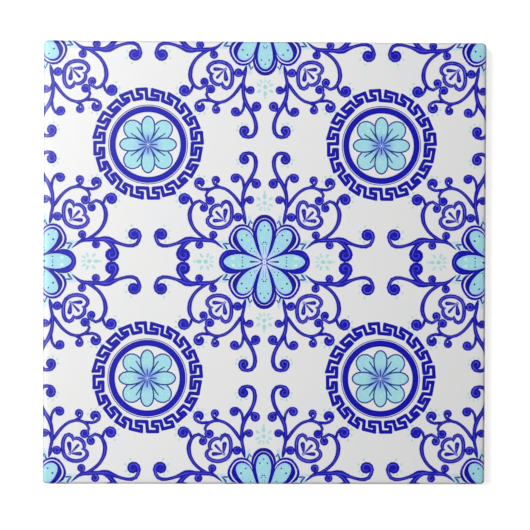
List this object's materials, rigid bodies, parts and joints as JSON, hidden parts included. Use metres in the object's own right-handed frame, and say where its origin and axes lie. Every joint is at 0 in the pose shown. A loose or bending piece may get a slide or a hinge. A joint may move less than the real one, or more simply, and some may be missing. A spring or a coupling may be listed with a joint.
{
  "type": "patterned tile",
  "caption": "Square glazed ceramic wall tile with a softly rounded face edge, a blue and aqua scroll and rosette decoration and a keyed back for bonding.",
  "frame": {"origin": "middle of the back, on the plane of its ribs", "axes": "+Z out of the patterned face, +X and +Y along the tile's edges, with +Y towards the top of the pattern"},
  "size_m": [0.152, 0.152, 0.0065],
  "materials": {
    "glazed_body": "glossy white glaze with cobalt blue and aqua underglaze decoration, bare fired clay on the sides and the back"
  },
  "bodies": {
    "root": {"tile": "glazed_body"}
  },
  "joints": []
}
